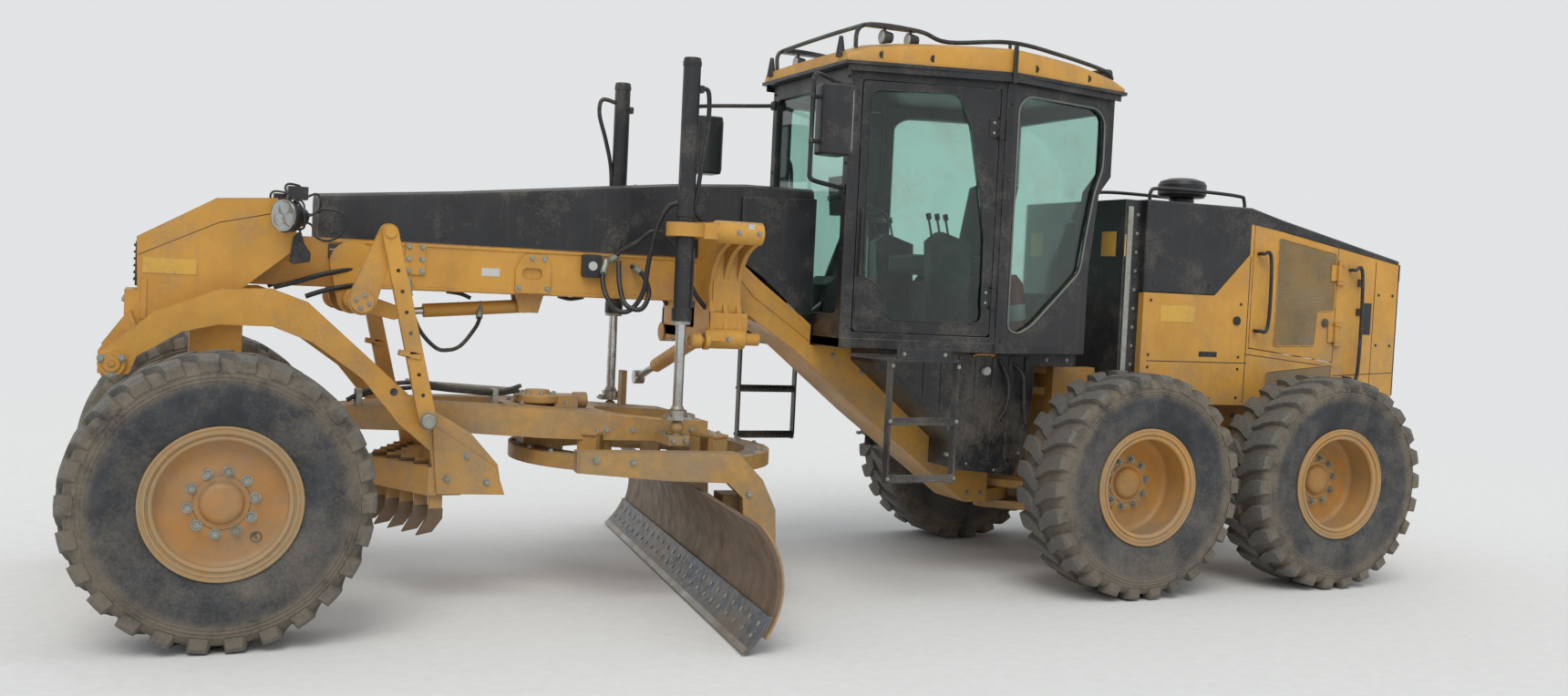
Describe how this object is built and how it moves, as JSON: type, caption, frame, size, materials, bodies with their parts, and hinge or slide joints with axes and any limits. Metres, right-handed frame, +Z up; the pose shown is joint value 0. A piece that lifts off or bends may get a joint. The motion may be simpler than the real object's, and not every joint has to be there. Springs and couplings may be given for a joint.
{
  "type": "motor grader",
  "caption": "Articulated motor grader with blade on a turning circle, scarifier, glazed cab, rear engine hood and tandem rear wheels.",
  "frame": {"origin": "middle of the overall box on the ground plane", "axes": "+X forward along the machine, +Y to the machine's left, +Z up"},
  "size_m": [8.347, 3.6547, 3.2603],
  "materials": {
    "yellow": "weathered orange-yellow paint",
    "black": "graphite black paint",
    "rubber": "dusty dark rubber",
    "chrome": "polished rod",
    "glass": "greenish window glass",
    "steel": "worn bare steel",
    "rust": "rusty earth-polished plate",
    "seat": "dark cloth"
  },
  "bodies": {
    "rear": {"rear_frame": "yellow", "tandems": "yellow", "engine_block": "steel", "bulkhead": "black", "engine_hood": "yellow", "intake": "black"},
    "front": {"front_frame": "yellow", "frame_cover": "black", "headlamps": "black", "cab_shell": "black", "cab_roof": "yellow", "cab_glass": "glass", "operator_seat": "seat", "console": "black", "mirrors": "black", "side_tanks": "yellow", "steps": "black", "lift_bolster": "yellow", "front_axle": "yellow"},
    "engine_door_left": {"engine_door_left": "yellow"},
    "engine_door_right": {"engine_door_right": "yellow"},
    "cab_door_left": {"cab_door_left": "black", "door_glass_left": "glass"},
    "cab_door_right": {"cab_door_right": "black", "door_glass_right": "glass"},
    "lift_barrel_left": {"lift_barrel_left": "black"},
    "lift_barrel_right": {"lift_barrel_right": "black"},
    "lift_rod_left": {"lift_rod_left": "chrome"},
    "lift_rod_right": {"lift_rod_right": "chrome"},
    "shift_barrel": {"shift_barrel": "black"},
    "shift_rod": {"shift_rod": "chrome"},
    "drawbar_pivot": {"drawbar_pivot": "steel"},
    "drawbar": {"drawbar": "yellow"},
    "circle": {"circle": "yellow"},
    "blade_bracket": {"blade_bracket": "yellow"},
    "blade": {"moldboard": "rust", "cutting_edge": "steel"},
    "scarifier": {"scarifier": "yellow"},
    "scarifier_crank": {"scarifier_crank": "yellow"},
    "scarifier_links": {"scarifier_links": "yellow"},
    "scarifier_barrel": {"scarifier_barrel": "black"},
    "scarifier_rod": {"scarifier_rod": "chrome"},
    "knuckle_left": {"knuckle_left": "yellow"},
    "knuckle_right": {"knuckle_right": "yellow"},
    "tie_rod": {"tie_rod": "steel"},
    "wheel_front_left": {"tyre_front_left": "rubber", "rim_front_left": "yellow"},
    "wheel_front_right": {"tyre_front_right": "rubber", "rim_front_right": "yellow"},
    "wheel_mid_left": {"tyre_mid_left": "rubber", "rim_mid_left": "yellow"},
    "wheel_mid_right": {"tyre_mid_right": "rubber", "rim_mid_right": "yellow"},
    "wheel_rear_left": {"tyre_rear_left": "rubber", "rim_rear_left": "yellow"},
    "wheel_rear_right": {"tyre_rear_right": "rubber", "rim_rear_right": "yellow"}
  },
  "joints": [
    {"name": "articulation", "type": "hinge", "parent": "rear", "child": "front", "pos_m": [-1.3015, 0, 0.86], "axis": [0, 0, -1], "range_deg": [-20, 20]},
    {"name": "steer_left", "type": "hinge", "parent": "front", "child": "knuckle_left", "pos_m": [3.4985, 0.88, 0.675], "axis": [0, 0, -1], "range_deg": [-47.5, 47.5]},
    {"name": "steer_right", "type": "hinge", "parent": "front", "child": "knuckle_right", "pos_m": [3.4985, -0.88, 0.675], "axis": [0, 0, -1], "range_deg": [-47.5, 47.5]},
    {"name": "tie_rod_swing", "type": "hinge", "parent": "knuckle_left", "child": "tie_rod", "pos_m": [3.3085, 0.88, 0.58], "axis": [0, 0, -1], "range_deg": [-47.5, 47.5]},
    {"name": "wheel_front_left_spin", "type": "hinge", "parent": "knuckle_left", "child": "wheel_front_left", "pos_m": [3.4985, 1.0325, 0.675], "axis": [0, 1, 0], "continuous": true},
    {"name": "wheel_front_right_spin", "type": "hinge", "parent": "knuckle_right", "child": "wheel_front_right", "pos_m": [3.4985, -1.0325, 0.675], "axis": [0, 1, 0], "continuous": true},
    {"name": "wheel_mid_left_spin", "type": "hinge", "parent": "rear", "child": "wheel_mid_left", "pos_m": [-1.6175, 1.0325, 0.675], "axis": [0, 1, 0], "continuous": true},
    {"name": "wheel_mid_right_spin", "type": "hinge", "parent": "rear", "child": "wheel_mid_right", "pos_m": [-1.6175, -1.0325, 0.675], "axis": [0, 1, 0], "continuous": true},
    {"name": "wheel_rear_left_spin", "type": "hinge", "parent": "rear", "child": "wheel_rear_left", "pos_m": [-3.1295, 1.0325, 0.675], "axis": [0, 1, 0], "continuous": true},
    {"name": "wheel_rear_right_spin", "type": "hinge", "parent": "rear", "child": "wheel_rear_right", "pos_m": [-3.1295, -1.0325, 0.675], "axis": [0, 1, 0], "continuous": true},
    {"name": "drawbar_yaw", "type": "hinge", "parent": "front", "child": "drawbar_pivot", "pos_m": [3.1985, 0, 0.95], "axis": [0, 0, -1], "range_deg": [-8, 8]},
    {"name": "drawbar_pitch", "type": "hinge", "parent": "drawbar_pivot", "child": "drawbar", "pos_m": [3.1985, 0, 0.95], "axis": [0, 1, 0], "range_deg": [-10, 10]},
    {"name": "circle_turn", "type": "hinge", "parent": "drawbar", "child": "circle", "pos_m": [1.1485, 0, 0.76], "axis": [0, 0, 1], "range_deg": [-43.3, 56.7]},
    {"name": "blade_tip", "type": "hinge", "parent": "circle", "child": "blade_bracket", "pos_m": [0.64198, 0.0595, 0.17], "axis": [0.1167, 0.9932, 0], "range_deg": [-5, 40]},
    {"name": "blade_slide", "type": "slide", "parent": "blade_bracket", "child": "blade", "axis": [-0.1167, -0.9932, 0], "range_m": [-0.51, 0.66]},
    {"name": "lift_barrel_left_swing", "type": "hinge", "parent": "front", "child": "lift_barrel_left", "pos_m": [1.1485, 0.62, 2.05], "axis": [1, 0, 0], "range_deg": [-15, 15]},
    {"name": "lift_rod_left_slide", "type": "slide", "parent": "lift_barrel_left", "child": "lift_rod_left", "axis": [0, 0, 1], "range_m": [-0.36, 0.36]},
    {"name": "lift_barrel_right_swing", "type": "hinge", "parent": "front", "child": "lift_barrel_right", "pos_m": [1.1485, -0.62, 2.05], "axis": [1, 0, 0], "range_deg": [-15, 15]},
    {"name": "lift_rod_right_slide", "type": "slide", "parent": "lift_barrel_right", "child": "lift_rod_right", "axis": [0, 0, 1], "range_m": [-0.36, 0.36]},
    {"name": "shift_barrel_swing", "type": "hinge", "parent": "front", "child": "shift_barrel", "pos_m": [1.0185, 0.5, 1.44], "axis": [1, 0, 0], "range_deg": [-19.1, 19.1]},
    {"name": "shift_rod_slide", "type": "slide", "parent": "shift_barrel", "child": "shift_rod", "axis": [0, -0.9608, -0.2773], "range_m": [-0.264, 0.264]},
    {"name": "scarifier_lift", "type": "hinge", "parent": "front", "child": "scarifier", "pos_m": [3.9735, 0, 1.25], "axis": [0, 1, 0], "range_deg": [-18, 0]},
    {"name": "scarifier_crank_turn", "type": "hinge", "parent": "front", "child": "scarifier_crank", "pos_m": [2.8385, 0, 1.59], "axis": [0, 1, 0], "range_deg": [-86, 0]},
    {"name": "scarifier_links_swing", "type": "hinge", "parent": "scarifier", "child": "scarifier_links", "pos_m": [2.4985, 0, 0.99], "axis": [0, 1, 0], "range_deg": [-5, 0]},
    {"name": "scarifier_barrel_swing", "type": "hinge", "parent": "front", "child": "scarifier_barrel", "pos_m": [1.8785, 0, 1.585], "axis": [0, 1, 0], "range_deg": [0, 8.5]},
    {"name": "scarifier_rod_slide", "type": "slide", "parent": "scarifier_barrel", "child": "scarifier_rod", "axis": [0.9967, 0, -0.0812], "range_m": [0, 0.316]},
    {"name": "cab_door_left_hinge", "type": "hinge", "parent": "front", "child": "cab_door_left", "pos_m": [-0.72947, 0.79934, 2.2], "axis": [0, 0, 1], "range_deg": [0, 85]},
    {"name": "cab_door_right_hinge", "type": "hinge", "parent": "front", "child": "cab_door_right", "pos_m": [-0.72947, -0.79934, 2.2], "axis": [0, 0, -1], "range_deg": [0, 85]},
    {"name": "engine_door_left_hinge", "type": "hinge", "parent": "rear", "child": "engine_door_left", "pos_m": [-3.6115, 0.627, 1.8], "axis": [0, 0, 1], "range_deg": [0, 100]},
    {"name": "engine_door_right_hinge", "type": "hinge", "parent": "rear", "child": "engine_door_right", "pos_m": [-3.6115, -0.627, 1.8], "axis": [0, 0, -1], "range_deg": [0, 100]}
  ],
  "couplings": [
    {"joint": "steer_right", "follows": "steer_left", "ratio": 1},
    {"joint": "tie_rod_swing", "follows": "steer_left", "ratio": -1},
    {"joint": "lift_barrel_left_swing", "follows": "drawbar_yaw", "ratio": 1.84},
    {"joint": "lift_barrel_right_swing", "follows": "drawbar_yaw", "ratio": 1.84},
    {"joint": "lift_rod_left_slide", "follows": "drawbar_pitch", "m_per_rad": 2.04},
    {"joint": "lift_rod_right_slide", "follows": "drawbar_pitch", "m_per_rad": 2.04},
    {"joint": "shift_barrel_swing", "follows": "drawbar_pitch", "ratio": -1.9},
    {"joint": "shift_rod_slide", "follows": "drawbar_yaw", "m_per_rad": -1.88},
    {"joint": "scarifier_crank_turn", "follows": "scarifier_lift", "ratio": 4.74},
    {"joint": "scarifier_links_swing", "follows": "scarifier_lift", "ratio": 0.268},
    {"joint": "scarifier_barrel_swing", "follows": "scarifier_lift", "ratio": -0.44},
    {"joint": "scarifier_rod_slide", "follows": "scarifier_lift", "m_per_rad": -0.996}
  ]
}
